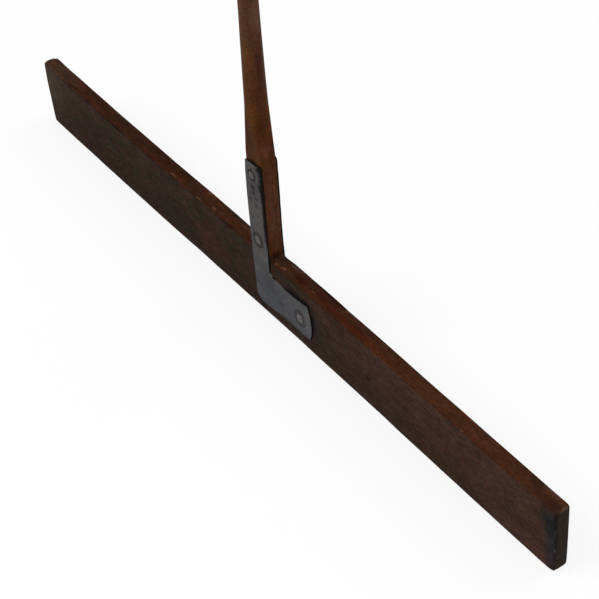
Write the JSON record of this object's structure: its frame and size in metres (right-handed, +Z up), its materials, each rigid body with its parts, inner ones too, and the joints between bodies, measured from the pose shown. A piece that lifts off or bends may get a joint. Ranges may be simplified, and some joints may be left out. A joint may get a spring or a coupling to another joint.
{
  "type": "sand green rake",
  "caption": "Long straight wooden scraping board on its edge, with an upright wooden handle held at its middle by riveted L-shaped iron straps.",
  "frame": {"origin": "middle of the board's bottom edge, where it stands on the sand", "axes": "+X along the board, towards the straps' lower arms; -Y the front face of the board; +Z up the handle"},
  "size_m": [1.026, 0.0266, 1.5],
  "materials": {
    "board_wood": "old dark weathered softwood, greyed faces, worn red-brown top edge",
    "handle_wood": "hand-polished honey brown hardwood with darker streaks",
    "strap_iron": "dull grey wrought plate with dark mottling",
    "rivet_iron": "hammered rivet heads, a little brighter than the plate"
  },
  "bodies": {
    "root": {"board": "board_wood", "handle": "handle_wood", "front_strap": "strap_iron", "rear_strap": "strap_iron", "upper_handle_rivet": "rivet_iron", "lower_handle_rivet": "rivet_iron", "arm_rivet": "rivet_iron"}
  },
  "joints": []
}
